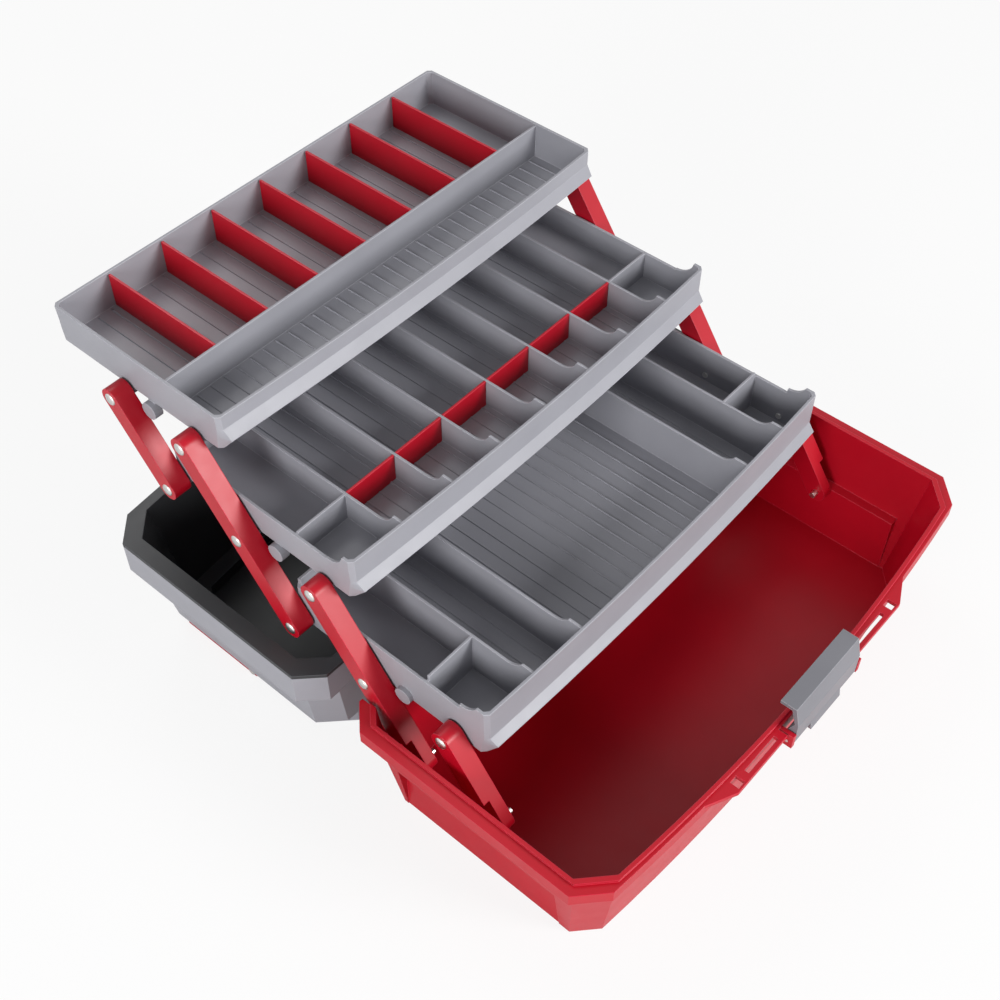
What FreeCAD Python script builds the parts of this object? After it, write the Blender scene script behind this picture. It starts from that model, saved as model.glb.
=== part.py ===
import FreeCAD, Part
import math
import os
import Sketcher
from FreeCAD import Placement, Rotation, Vector

# Cantilever tool box, standing open with its three trays spread
# Frame: +X along the box to the right, -Y to the latch side, +Z up
# Origin: middle of the base tub's underside, on the floor

# Sizes in millimetres and degrees
SIZES = {
    # Base tub
    "base_height": 94.0,
    "base_length": 400.0,
    "rim_front": 93.0,
    "rim_rear": 96.0,
    "rim_bow": 10.0,
    "rim_corner_across": 18.0,
    "rim_corner_deep": 17.0,
    "rim_rear_corner": 15.0,
    "rim_end_overhang": 6.5,
    "rim_front_overhang": 1.8,
    "rim_rear_overhang": 2.5,
    "base_wall": 2.5,
    "base_floor": 2.5,
    "base_end_draft": 13.0,
    "base_front_draft": 12.7,
    "base_rear_draft": 9.5,
    "foot_bow": 9.0,
    "lip_height": 2.0,
    "flange_thick": 3.0,
    "skirt_height": 10.0,
    "skirt_wall": 2.2,
    "end_recess_height": 47.0,
    "end_recess_front": 57.0,
    "end_recess_rear": 66.0,
    "end_recess_inset": 3.0,
    "rest_notch_half": 8.6,
    "rest_notch_depth": 28.0,
    # Pivot brackets inside the base
    "bracket_thick": 4.0,
    "bracket_half": 11.0,
    "bracket_gap": 0.4,
    # Padlock ears and latch seat on the front rim
    "ear_thick": 3.0,
    "ear_inner_gap": 5.0,
    "ear_outer": 113.0,
    "ear_corner": 88.0,
    "ear_out": 16.0,
    "ear_nose_out": 4.0,
    "ear_sink": 1.0,
    "ear_hole_place": 83.0,
    "ear_hole_out": 11.5,
    "ear_hole_side": 6.0,
    "pocket_start": 44.0,
    "pocket_end": 74.0,
    "pocket_in": 10.2,
    "pocket_width": 2.8,
    "lug_thick": 3.0,
    "lug_half": 4.5,
    "lug_root_out": 5.5,
    # Latch, its places measured from the base's rim
    "latch_width": 67.0,
    "latch_thick": 2.6,
    "latch_rise": 18.0,
    "latch_hook_out": 4.5,
    "latch_out": 15.5,
    "latch_belly": 3.6,
    "latch_belly_rise": 4.0,
    "latch_pivot_out": 15.0,
    "latch_pivot_drop": 10.0,
    "latch_barrel": 3.0,
    "latch_tab_half": 16.0,
    "latch_tab_drop": 18.0,
    "latch_pin_radius": 1.5,
    "latch_clearance": 0.6,
    # Hinge between base and lid
    "hinge_out": 13.5,
    "hinge_inset": 90.0,
    "hinge_knuckle": 16.0,
    "hinge_gap": 0.5,
    "hinge_radius": 3.0,
    "hinge_pin_radius": 1.4,
    "hinge_strap": 2.6,
    # Lid, sizes of the closed lid above the parting plane
    "lid_wall": 2.5,
    "lid_end_draft": 12.5,
    "lid_front_draft": 14.2,
    "lid_rear_draft": 7.5,
    "lid_skirt_height": 27.0,
    "lid_shoulder": 10.0,
    "lid_shoulder_end": 9.0,
    "lid_shoulder_front": 11.0,
    "lid_open_angle": 180.0,
    "liner_gap": 0.3,
    "liner_wall": 1.8,
    "liner_flange": 3.0,
    # Carrying handle
    "handle_bar": 6.0,
    "handle_arm": 5.4,
    "handle_thick": 7.4,
    "handle_gap": 0.6,
    "handle_pivot": 6.0,
    "handle_eye": 3.9,
    "handle_floor_gap": 0.3,
    "handle_pin_radius": 2.0,
    "handle_pin_head": 3.2,
    "handle_pin_proud": 0.8,
    # Cantilever linkage
    "pivot_foot_place": -3.5,
    "pivot_foot_drop": 43.5,
    "pivot_spacing": 61.7,
    "base_link": 66.0,
    "tray_link": 65.0,
    "link_open_angle": 35.3,
    "arm_side_gap": 11.0,
    "arm_thick": 12.5,
    "arm_radius": 7.25,
    "arm_foot_relief": 4.4,
    "arm_foot_length": 20.0,
    # Rivets
    "rivet_radius": 2.2,
    "rivet_proud": 0.7,
    "rivet_clearance": 0.08,
    # Trays, common sizes
    "tray_side_gap": 1.0,
    "tray_wall": 1.8,
    "tray_floor": 1.8,
    "tray_draft": 0.6,
    "tray_front": 74.0,
    "tray_bow": 4.0,
    "tray_corner": 2.5,
    "ridge_out": 5.0,
    "ridge_inset": 3.5,
    "ridge_corner": 9.0,
    "tray_bottom_front": 71.0,
    "tray_cell_wall": 1.6,
    "pivot_front": 50.5,
    "lug_radius": 5.0,
    "lug_depth": 2.5,
    "stop_radius": 6.0,
    "stop_thick": 3.6,
    "stop_front": 21.4,
    "stop_drop": 4.0,
    "scoop_radius": 14.0,
    "scoop_place": 53.0,
    "end_wall_drop": 11.6,
    "cross_wall_place": 27.0,
    # Upper tray
    "upper_depth": 27.0,
    "upper_rear": 73.0,
    "upper_crease": 10.3,
    "upper_ridge": 17.0,
    "upper_pivot": 29.5,
    # Middle tray
    "middle_depth": 33.5,
    "middle_rear": 80.0,
    "middle_crease": 18.0,
    "middle_ridge": 24.0,
    "middle_pivot": 35.0,
    "middle_cell": 41.6,
    "middle_wall_drop": 11.0,
    # Lower tray
    "lower_depth": 42.0,
    "lower_rear": 80.0,
    "lower_crease": 25.0,
    "lower_ridge": 30.0,
    "lower_pivot": 35.0,
    "lower_cell": 84.0,
    "lower_end_cell": 42.0,
    "lower_wall_drop": 8.0,
    # Loose dividers
    "divider_thick": 1.6,
    "divider_drop": 1.2,
    "divider_gap": 0.3,
    "upper_cell": 41.8,
    # One overrun for all cuts
    "overrun": 1.0,
}

doc = FreeCAD.newDocument("ToolBox")
sheet = doc.addObject("Spreadsheet::Sheet", "Sizes")
for row, (alias, number) in enumerate(SIZES.items(), start=1):
    sheet.set("A%d" % row, alias)
    sheet.set("B%d" % row, str(number))
    sheet.setAlias("B%d" % row, alias)
doc.recompute()


class Size:
    """A number with the formula that ties it to the sheet."""

    def __init__(self, value, formula):
        self.value = float(value)
        self.formula = formula

    def __add__(self, other):
        other = as_size(other)
        return Size(self.value + other.value, "(" + self.formula + " + " + other.formula + ")")

    def __sub__(self, other):
        other = as_size(other)
        return Size(self.value - other.value, "(" + self.formula + " - " + other.formula + ")")

    def __mul__(self, other):
        other = as_size(other)
        return Size(self.value * other.value, "(" + self.formula + " * " + other.formula + ")")

    def __truediv__(self, other):
        other = as_size(other)
        return Size(self.value / other.value, "(" + self.formula + " / " + other.formula + ")")

    def __neg__(self):
        return Size(-self.value, "(0 - " + self.formula + ")")

    def __radd__(self, other):
        return as_size(other) + self

    def __rsub__(self, other):
        return as_size(other) - self

    def __rmul__(self, other):
        return as_size(other) * self


def as_size(number):
    """A plain number as a size."""
    if isinstance(number, Size):
        return number
    return Size(number, repr(float(number)))


class Named:
    """Each named size of the sheet as an attribute."""

    def __getattr__(self, alias):
        return Size(SIZES[alias], "Sizes." + alias)


def sine(angle):
    """Sine of an angle in degrees."""
    return Size(math.sin(math.radians(angle.value)), "sin(" + angle.formula + ")")


def cosine(angle):
    """Cosine of an angle in degrees."""
    return Size(math.cos(math.radians(angle.value)), "cos(" + angle.formula + ")")


def bind(item, prop, size):
    """Tie a property to its formula."""
    item.setExpression(prop, as_size(size).formula)


d = Named()
zero = as_size(0)


# Sketches: each corner is held from the origin, a bow turns a side into an arc
def new_body(name):
    return doc.addObject("PartDesign::Body", name)


def new_sketch(body, name, role, offset):
    sketch = body.newObject("Sketcher::SketchObject", name)
    plane = [item for item in body.Origin.OriginFeatures if item.Role == role][0]
    sketch.AttachmentSupport = [(plane, "")]
    sketch.MapMode = "FlatFace"
    offset = as_size(offset)
    sketch.AttachmentOffset = Placement(Vector(0, 0, offset.value), Rotation())
    bind(sketch, "AttachmentOffset.Base.z", offset)
    return sketch


def hold(sketch, geometry, end, x, y, name):
    for axis, size, line in (("X", x, -2), ("Y", y, -1)):
        size = as_size(size)
        if size.formula == "0.0":
            sketch.addConstraint(Sketcher.Constraint("PointOnObject", geometry, end, line))
            continue
        held = sketch.addConstraint(
            Sketcher.Constraint("Distance" + axis, -1, 1, geometry, end, size.value))
        sketch.renameConstraint(held, name + axis.lower())
        bind(sketch, "Constraints." + name + axis.lower(), size)


def add_loop(sketch, points, bows=None):
    bows = bows or {}
    points = [(as_size(x), as_size(y)) for x, y in points]
    first = sketch.GeometryCount
    count = len(points)
    for number, (x, y) in enumerate(points):
        far_x, far_y = points[(number + 1) % count]
        start = Vector(x.value, y.value, 0)
        end = Vector(far_x.value, far_y.value, 0)
        if number in bows:
            along = end - start
            outward = Vector(along.y, -along.x, 0).normalize()
            middle = (start + end) * 0.5 + outward * bows[number].value
            sketch.addGeometry(Part.Arc(start, middle, end), False)
        else:
            sketch.addGeometry(Part.LineSegment(start, end), False)
    for number in range(count):
        after = first + (number + 1) % count
        sketch.addConstraint(Sketcher.Constraint("Coincident", first + number, 2, after, 1))
    for number, (x, y) in enumerate(points):
        hold(sketch, first + number, 1, x, y, "p%d" % (first + number))
    for number, sag in bows.items():
        half = (points[(number + 1) % count][0] - points[number][0]) / 2
        radius = (half * half + sag * sag) / (2 * sag)
        held = sketch.addConstraint(
            Sketcher.Constraint("Radius", first + number, radius.value))
        sketch.renameConstraint(held, "r%d" % (first + number))
        bind(sketch, "Constraints.r%d" % (first + number), radius)


def add_circle(sketch, x, y, radius):
    x, y, radius = as_size(x), as_size(y), as_size(radius)
    number = sketch.addGeometry(
        Part.Circle(Vector(x.value, y.value, 0), Vector(0, 0, 1), radius.value), False)
    hold(sketch, number, 3, x, y, "c%d" % number)
    held = sketch.addConstraint(Sketcher.Constraint("Radius", number, radius.value))
    sketch.renameConstraint(held, "cr%d" % number)
    bind(sketch, "Constraints.cr%d" % number, radius)


def add_slot(sketch, length, radius):
    """A straight bar with round ends, from the origin up."""
    foot = Vector(0, 0, 0)
    head = Vector(0, length.value, 0)
    r = radius.value
    up = Vector(0, 0, 1)
    low = sketch.addGeometry(
        Part.ArcOfCircle(Part.Circle(foot, up, r), math.pi, 2 * math.pi), False)
    right = sketch.addGeometry(
        Part.LineSegment(Vector(r, 0, 0), Vector(r, length.value, 0)), False)
    top = sketch.addGeometry(
        Part.ArcOfCircle(Part.Circle(head, up, r), 0, math.pi), False)
    left = sketch.addGeometry(
        Part.LineSegment(Vector(-r, length.value, 0), Vector(-r, 0, 0)), False)
    sketch.addConstraint(Sketcher.Constraint("Coincident", low, 3, -1, 1))
    sketch.addConstraint(Sketcher.Constraint("Tangent", low, 2, right, 1))
    sketch.addConstraint(Sketcher.Constraint("Tangent", right, 2, top, 1))
    sketch.addConstraint(Sketcher.Constraint("Tangent", top, 2, left, 1))
    sketch.addConstraint(Sketcher.Constraint("Tangent", left, 2, low, 1))
    hold(sketch, top, 3, zero, length, "head")
    held = sketch.addConstraint(Sketcher.Constraint("Radius", low, r))
    sketch.renameConstraint(held, "round")
    bind(sketch, "Constraints.round", radius)


def loft(body, name, sections, cut=False):
    kind = "PartDesign::SubtractiveLoft" if cut else "PartDesign::AdditiveLoft"
    feature = body.newObject(kind, name)
    feature.Profile = sections[0]
    feature.Sections = sections[1:]
    feature.Ruled = True
    return feature


def pad(body, name, sketch, length):
    feature = body.newObject("PartDesign::Pad", name)
    feature.Profile = sketch
    length = as_size(length)
    feature.Length = length.value
    bind(feature, "Length", length)
    return feature


def pocket(body, name, sketch, length, along_normal=True):
    """Cut that runs along the sketch's normal."""
    feature = body.newObject("PartDesign::Pocket", name)
    feature.Profile = sketch
    length = as_size(length)
    feature.Length = length.value
    bind(feature, "Length", length)
    feature.Reversed = along_normal
    return feature


def outline(half, front, rear, front_cut, rear_cut):
    """Corners of a box-shaped outline with cut corners, front side first."""
    across, deep = front_cut
    rear_across, rear_deep = rear_cut
    return [
        (across - half, -front),
        (half - across, -front),
        (half, deep - front),
        (half, rear - rear_deep),
        (half - rear_across, rear),
        (rear_across - half, rear),
        (-half, rear - rear_deep),
        (-half, deep - front),
    ]


def rectangle(x_low, x_high, y_low, y_high):
    return [(x_low, y_low), (x_high, y_low), (x_high, y_high), (x_low, y_high)]


# Plain primitives and booleans with bound sizes
def move(item, x, y, z):
    for axis, size in (("x", x), ("y", y), ("z", z)):
        bind(item, "Placement.Base." + axis, size)
    return item


def block(name, x_low, x_high, y_low, y_high, z_low, z_high):
    item = doc.addObject("Part::Box", name)
    bind(item, "Length", as_size(x_high) - x_low)
    bind(item, "Width", as_size(y_high) - y_low)
    bind(item, "Height", as_size(z_high) - z_low)
    return move(item, x_low, y_low, z_low)


def rod(name, x_low, x_high, y, z, radius):
    """Round bar along X."""
    item = doc.addObject("Part::Cylinder", name)
    item.Placement = Placement(Vector(0, 0, 0), Rotation(Vector(0, 1, 0), 90))
    bind(item, "Radius", radius)
    bind(item, "Height", as_size(x_high) - x_low)
    return move(item, x_low, y, z)


def peg(name, x_low, x_high, y, z, radius):
    """Bar along X with few sides, for what repeats often."""
    item = doc.addObject("Part::Prism", name)
    item.Placement = Placement(Vector(0, 0, 0), Rotation(Vector(0, 1, 0), 90))
    item.Polygon = 12
    bind(item, "Circumradius", radius)
    bind(item, "Height", as_size(x_high) - x_low)
    return move(item, x_low, y, z)


def fuse(name, items):
    item = doc.addObject("Part::MultiFuse", name)
    item.Shapes = items
    return item


def cut(name, base, tools):
    item = doc.addObject("Part::Cut", name)
    item.Base = base
    item.Tool = tools[0] if len(tools) == 1 else fuse(name + "_tools", tools)
    return item


def mirror(name, source):
    item = doc.addObject("Part::Mirroring", name)
    item.Source = source
    item.Normal = Vector(1, 0, 0)
    return item


NODES = []


def node(item, name):
    item.Label = name
    NODES.append((name, item))
    return item


# Base tub: flange with a hanging skirt, drafted walls, upstanding lip
rim_half = d.base_length / 2
wall_half = rim_half - d.rim_end_overhang
wall_front = d.rim_front - d.rim_front_overhang
wall_rear = d.rim_rear - d.rim_rear_overhang
foot_half = wall_half - d.base_end_draft
foot_front = wall_front - d.base_front_draft
foot_rear = wall_rear - d.base_rear_draft
flange_top = d.base_height - d.lip_height
hinge_back = d.rim_rear + d.hinge_out
hinge_place = rim_half - d.hinge_inset
arm_outer = wall_half - d.base_wall - d.arm_side_gap
arm_inner = arm_outer - d.arm_thick
tray_half = arm_inner - d.tray_side_gap
pivot_height = d.base_height - d.pivot_foot_drop
front_cut = (d.rim_corner_across, d.rim_corner_deep)
rear_cut = (d.rim_rear_corner, d.rim_rear_corner)
corner_fall_share = 0.8
foot_cut = (d.rim_corner_across * corner_fall_share, d.rim_corner_deep * corner_fall_share)

body = new_body("base_walls")
plate = new_sketch(body, "base_skirt_outline", "XY_Plane", flange_top - d.skirt_height)
add_loop(plate, outline(rim_half, d.rim_front, d.rim_rear, front_cut, rear_cut), {0: d.rim_bow})
pad(body, "base_skirt", plate, d.skirt_height)
hollow = new_sketch(body, "base_skirt_hollow_outline", "XY_Plane", flange_top - d.skirt_height)
add_loop(hollow, outline(rim_half - d.skirt_wall, d.rim_front - d.skirt_wall,
                         d.rim_rear - d.skirt_wall, front_cut, rear_cut), {0: d.rim_bow})
pocket(body, "base_skirt_hollow", hollow, d.skirt_height - d.flange_thick)
foot_line = new_sketch(body, "base_foot_outline", "XY_Plane", zero)
add_loop(foot_line, outline(foot_half, foot_front, foot_rear, foot_cut, rear_cut), {0: d.foot_bow})
wall_line = new_sketch(body, "base_wall_outline", "XY_Plane", d.base_height)
add_loop(wall_line, outline(wall_half, wall_front, wall_rear, front_cut, rear_cut), {0: d.rim_bow})
loft(body, "base_wall", [foot_line, wall_line])

# Space inside the tub; the end walls stand back between the corner columns,
# which makes the feet outside and a ledge inside
space = new_body("base_space")
inner_foot = new_sketch(space, "base_inner_foot_outline", "XY_Plane", d.base_floor)
add_loop(inner_foot, outline(foot_half - d.base_wall, foot_front - d.base_wall,
                             foot_rear - d.base_wall, foot_cut, rear_cut), {0: d.foot_bow})
inner_top = new_sketch(space, "base_inner_top_outline", "XY_Plane", d.base_height)
add_loop(inner_top, outline(wall_half - d.base_wall, wall_front - d.base_wall,
                            wall_rear - d.base_wall, front_cut, rear_cut), {0: d.rim_bow})
loft(space, "base_hollow", [inner_foot, inner_top])
recess_face = foot_half - d.end_recess_inset + d.base_wall
far_half = wall_half + d.overrun
step_low = -d.end_recess_front - d.base_wall
step_high = d.end_recess_rear + d.base_wall
steps = new_sketch(space, "base_step_outline", "XY_Plane", zero)
add_loop(steps, rectangle(recess_face - d.base_wall, far_half, step_low, step_high))
add_loop(steps, rectangle(-far_half, d.base_wall - recess_face, step_low, step_high))
pocket(space, "base_steps", steps, d.end_recess_height + d.base_wall)

# Pivots of the two base links on each side
front_foot = d.pivot_foot_place
rear_foot = d.pivot_foot_place + d.pivot_spacing
latch_axis = -d.rim_front - d.latch_pivot_out
latch_height = d.base_height - d.latch_pivot_drop
ear_inner = d.latch_width / 2 + d.ear_inner_gap
ear_front = d.rim_front + d.ear_out
base_cuts = [space]
base_adds = [body]
for side, word in ((1, "right"), (-1, "left")):
    low, high = (recess_face, far_half) if side > 0 else (-far_half, -recess_face)
    base_cuts.append(block("base_recess_" + word, low, high, -d.end_recess_front,
                           d.end_recess_rear, -d.overrun, d.end_recess_height))
    # Notch in the rear rim that the second link rests in when the box is open
    notch_low = arm_outer - d.arm_thick / 2 - d.rest_notch_half
    notch_high = notch_low + d.rest_notch_half * 2
    low, high = (notch_low, notch_high) if side > 0 else (-notch_high, -notch_low)
    notch_floor = d.base_height - d.rest_notch_depth
    base_cuts.append(block("base_notch_" + word, low, high,
                           wall_rear - d.rim_rear_corner - d.base_wall,
                           d.rim_rear + d.overrun, notch_floor, d.base_height + d.overrun))
    # Brackets that carry the links: an upright plate on a foot beside each link
    for place, end in ((front_foot, "front"), (rear_foot, "rear")):
        plate_high = arm_inner - d.bracket_gap
        plate_low = plate_high - d.bracket_thick
        low, high = (plate_low, plate_high) if side > 0 else (-plate_high, -plate_low)
        top = pivot_height + d.bracket_half
        base_adds.append(block("base_bracket_" + end + "_" + word, low, high,
                               place - d.bracket_half, place + d.bracket_half,
                               d.base_floor / 2, top))
        hole_low, hole_high = (low - d.overrun, high + d.overrun)
        base_cuts.append(peg("base_bracket_bore_" + end + "_" + word, hole_low, hole_high,
                             place, pivot_height, d.rivet_radius))
    # Padlock ear on the front rim, with its hole
    ear = new_body("ear_" + word)
    shape = new_sketch(ear, "ear_outline_" + word, "XY_Plane", flange_top - d.ear_thick)
    nose = d.rim_front + d.ear_nose_out
    corners = [(ear_inner, -d.rim_front), (ear_inner, -ear_front), (d.ear_corner, -ear_front),
               (d.ear_outer, -nose), (d.ear_outer, -d.rim_front)]
    if side < 0:
        corners = [(-x, y) for x, y in reversed(corners)]
    add_loop(shape, corners)
    pad(ear, "ear_plate_" + word, shape, d.ear_thick)
    base_adds.append(ear)
    centre = d.ear_hole_place if side > 0 else -d.ear_hole_place
    half = d.ear_hole_side / 2
    hole_y = -d.rim_front - d.ear_hole_out
    base_cuts.append(block("ear_hole_" + word, centre - half, centre + half,
                           hole_y - half, hole_y + half,
                           flange_top - d.ear_thick - d.overrun, flange_top + d.overrun))
    # Narrow slot between the rim and the ear, on the latch's side of the hole
    low, high = (d.pocket_start, d.pocket_end) if side > 0 \
        else (-d.pocket_end, -d.pocket_start)
    slot_y = -d.rim_front - d.pocket_in
    base_cuts.append(block("ear_slot_" + word, low, high, slot_y - d.pocket_width, slot_y,
                           flange_top - d.ear_thick - d.overrun, flange_top + d.overrun))
    # Lug that carries one end of the latch pin
    lug_low = d.latch_width / 2 + d.latch_clearance
    low, high = (lug_low, lug_low + d.lug_thick) if side > 0 \
        else (-lug_low - d.lug_thick, -lug_low)
    base_adds.append(block("latch_lug_" + word, low, high,
                           latch_axis - d.lug_half, -d.rim_front - d.lug_root_out,
                           latch_height - d.lug_half, flange_top - d.ear_sink))
    base_cuts.append(peg("latch_lug_bore_" + word, low - d.overrun, high + d.overrun,
                         latch_axis, latch_height, d.latch_pin_radius))
    # Two hinge knuckles behind the rear rim on this side, with straps to the flange
    for step_side, step_word in ((1, "outer"), (-1, "inner")):
        middle = hinge_place + (d.hinge_knuckle + d.hinge_gap) * step_side
        near = middle - d.hinge_knuckle / 2
        far = middle + d.hinge_knuckle / 2
        low, high = (near, far) if side > 0 else (-far, -near)
        tag = step_word + "_" + word
        base_adds.append(peg("base_knuckle_" + tag, low, high, hinge_back, d.base_height,
                             d.hinge_radius))
        base_adds.append(block("base_strap_" + tag, low, high, d.rim_rear - d.rim_rear_overhang,
                               hinge_back, d.base_height - d.hinge_radius,
                               d.base_height - d.hinge_radius + d.hinge_strap))
    near = hinge_place - d.hinge_knuckle * 2
    far = hinge_place + d.hinge_knuckle * 2
    low, high = (near, far) if side > 0 else (-far, -near)
    base_cuts.append(peg("base_knuckle_bore_" + word, low, high, hinge_back, d.base_height,
                         d.hinge_pin_radius))

node(cut("base_tub_cut", fuse("base_tub_solid", base_adds), base_cuts), "base_tub")

# Latch: hook, front plate, barrel and thumb tab in one section
body = new_body("latch_body")
face = new_sketch(body, "latch_section", "YZ_Plane", -d.latch_width / 2)
barrel = d.latch_barrel
hook = -d.rim_front - d.latch_hook_out
brow = -d.rim_front - d.latch_out
belly = brow - d.latch_belly
latch_top = d.base_height + d.latch_rise
belly_height = d.base_height + d.latch_belly_rise
add_loop(face, [
    (hook, latch_top),
    (hook, latch_top - d.latch_thick),
    (brow + d.latch_thick, latch_top - d.latch_thick),
    (belly + d.latch_thick, belly_height),
    (latch_axis + barrel, latch_height + barrel),
    (latch_axis + barrel, latch_height - barrel),
    (belly, latch_height - barrel),
    (belly, belly_height),
    (brow, latch_top),
])
pad(body, "latch_plate", face, d.latch_width)
tab_foot = d.base_height - d.latch_tab_drop
tab = new_sketch(body, "latch_tab_section", "YZ_Plane", -d.latch_tab_half)
add_loop(tab, [
    (belly, latch_height),
    (belly - d.latch_thick / 2, tab_foot),
    (belly + d.latch_thick, tab_foot),
    (belly + d.latch_thick, latch_height),
])
pad(body, "latch_tab", tab, d.latch_tab_half * 2)
bore = new_sketch(body, "latch_bore_outline", "YZ_Plane", -d.latch_width)
add_circle(bore, latch_axis, latch_height, d.latch_pin_radius + d.rivet_clearance)
pocket(body, "latch_bore", bore, d.latch_width * 2)
node(body, "latch")
reach = d.latch_width / 2 + d.latch_clearance + d.lug_thick
node(peg("latch_pin_rod", -reach, reach, latch_axis, latch_height, d.latch_pin_radius),
     "latch_pin")

# Lid, shaped closed and turned back onto the floor
plane = d.base_height
crown = d.base_height * 2
shoulder = crown - d.lid_shoulder
lid_half = wall_half - d.lid_end_draft
lid_front = wall_front - d.lid_front_draft
lid_rear = wall_rear - d.lid_rear_draft
shell_rim = plane + d.liner_flange


def open_lid(item):
    """Turn a closed lid piece about the hinge onto the floor."""
    item.Placement = Placement(Vector(0, 0, 0), Rotation(Vector(1, 0, 0), 180))
    turn = d.lid_open_angle
    bind(item, "Placement.Rotation.Angle", turn)
    shift_y = hinge_back - hinge_back * cosine(turn) + d.base_height * sine(turn)
    shift_z = d.base_height - d.base_height * cosine(turn) - hinge_back * sine(turn)
    return move(item, zero, shift_y, shift_z)


body = new_body("lid_walls")
band = new_sketch(body, "lid_band_outline", "XY_Plane", shell_rim)
add_loop(band, outline(rim_half, d.rim_front, d.rim_rear, front_cut, rear_cut), {0: d.rim_bow})
pad(body, "lid_band", band, d.lid_skirt_height - d.liner_flange)
hollow = new_sketch(body, "lid_band_hollow_outline", "XY_Plane", shell_rim)
add_loop(hollow, outline(rim_half - d.lid_wall, d.rim_front - d.lid_wall,
                         d.rim_rear - d.lid_wall, front_cut, rear_cut), {0: d.rim_bow})
pocket(body, "lid_band_hollow", hollow,
       d.lid_skirt_height - d.liner_flange - d.lid_wall)
rim_line = new_sketch(body, "lid_rim_outline", "XY_Plane", shell_rim)
add_loop(rim_line, outline(wall_half, wall_front, wall_rear, front_cut, rear_cut),
         {0: d.rim_bow})
shoulder_line = new_sketch(body, "lid_shoulder_outline", "XY_Plane", shoulder)
add_loop(shoulder_line, outline(lid_half, lid_front, lid_rear, foot_cut, rear_cut),
         {0: d.foot_bow})
loft(body, "lid_wall_form", [rim_line, shoulder_line])
top_line = new_sketch(body, "lid_top_outline", "XY_Plane", shoulder)
top_half = lid_half - d.lid_shoulder_end
top_front = lid_front - d.lid_shoulder_front
add_loop(top_line, outline(top_half, top_front, lid_rear, foot_cut, rear_cut), {0: d.foot_bow})
pad(body, "lid_top_form", top_line, d.lid_shoulder)
inside = new_body("lid_space")
low_line = new_sketch(inside, "lid_space_rim_outline", "XY_Plane", shell_rim)
add_loop(low_line, outline(wall_half - d.lid_wall, wall_front - d.lid_wall,
                           wall_rear - d.lid_wall, front_cut, rear_cut), {0: d.rim_bow})
high_line = new_sketch(inside, "lid_space_top_outline", "XY_Plane", shoulder - d.lid_wall)
add_loop(high_line, outline(lid_half - d.lid_wall, lid_front - d.lid_wall,
                            lid_rear - d.lid_wall, foot_cut, rear_cut), {0: d.foot_bow})
loft(inside, "lid_space_form", [low_line, high_line])
crown_line = new_sketch(inside, "lid_space_crown_outline", "XY_Plane", shoulder - d.lid_wall)
add_loop(crown_line, outline(top_half - d.lid_wall, top_front - d.lid_wall,
                             lid_rear - d.lid_wall, foot_cut, rear_cut), {0: d.foot_bow})
pad(inside, "lid_space_crown", crown_line, d.lid_shoulder)
shell_adds = [body]
shell_cuts = [inside]
for side, word in ((1, "right"), (-1, "left")):
    half = d.hinge_knuckle / 2
    low, high = (hinge_place - half, hinge_place + half) if side > 0 \
        else (-hinge_place - half, half - hinge_place)
    shell_adds.append(peg("lid_knuckle_" + word, low, high, hinge_back, plane,
                          d.hinge_radius))
    shell_adds.append(block("lid_strap_" + word, low, high, d.rim_rear - d.lid_wall / 2,
                            hinge_back, shell_rim, shell_rim + d.hinge_strap))
    shell_adds.append(block("lid_strap_end_" + word, low, high, hinge_back - d.hinge_radius,
                            hinge_back, plane, shell_rim + d.hinge_strap))
    shell_cuts.append(rod("lid_knuckle_bore_" + word, low - d.overrun, high + d.overrun,
                          hinge_back, plane, d.hinge_pin_radius + d.rivet_clearance))
shell = cut("lid_shell_cut", fuse("lid_shell_solid", shell_adds), shell_cuts)
node(open_lid(shell), "lid_shell")

# Black liner with its flange over the shell's rim
body = new_body("liner_walls")
flange = new_sketch(body, "liner_flange_outline", "XY_Plane", plane)
add_loop(flange, outline(rim_half, d.rim_front, d.rim_rear, front_cut, rear_cut),
         {0: d.rim_bow})
pad(body, "liner_flange_plate", flange, d.liner_flange)
inset = d.lid_wall + d.liner_gap
rim_line = new_sketch(body, "liner_rim_outline", "XY_Plane", plane)
add_loop(rim_line, outline(wall_half - inset, wall_front - inset, wall_rear - inset,
                           front_cut, rear_cut), {0: d.rim_bow})
end_line = new_sketch(body, "liner_end_outline", "XY_Plane",
                      shoulder - d.lid_wall - d.liner_gap)
add_loop(end_line, outline(lid_half - inset, lid_front - inset, lid_rear - inset,
                           foot_cut, rear_cut), {0: d.foot_bow})
loft(body, "liner_wall_form", [rim_line, end_line])
liner_end = shoulder - d.lid_wall - d.liner_gap
crown_line = new_sketch(body, "liner_crown_outline", "XY_Plane", liner_end)
add_loop(crown_line, outline(top_half - inset, top_front - inset, lid_rear - inset,
                             foot_cut, rear_cut), {0: d.foot_bow})
pad(body, "liner_crown_form", crown_line, d.lid_shoulder)
inset = inset + d.liner_wall
rim_line = new_sketch(body, "liner_space_rim_outline", "XY_Plane", plane)
add_loop(rim_line, outline(wall_half - inset, wall_front - inset, wall_rear - inset,
                           front_cut, rear_cut), {0: d.rim_bow})
end_line = new_sketch(body, "liner_space_end_outline", "XY_Plane",
                      shoulder - d.lid_wall - d.liner_gap - d.liner_wall)
add_loop(end_line, outline(lid_half - inset, lid_front - inset, lid_rear - inset,
                           foot_cut, rear_cut), {0: d.foot_bow})
loft(body, "liner_space_form", [rim_line, end_line], cut=True)
crown_line = new_sketch(body, "liner_space_crown_outline", "XY_Plane",
                        liner_end - d.liner_wall)
add_loop(crown_line, outline(top_half - inset, top_front - inset, lid_rear - inset,
                             foot_cut, rear_cut), {0: d.foot_bow})
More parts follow.
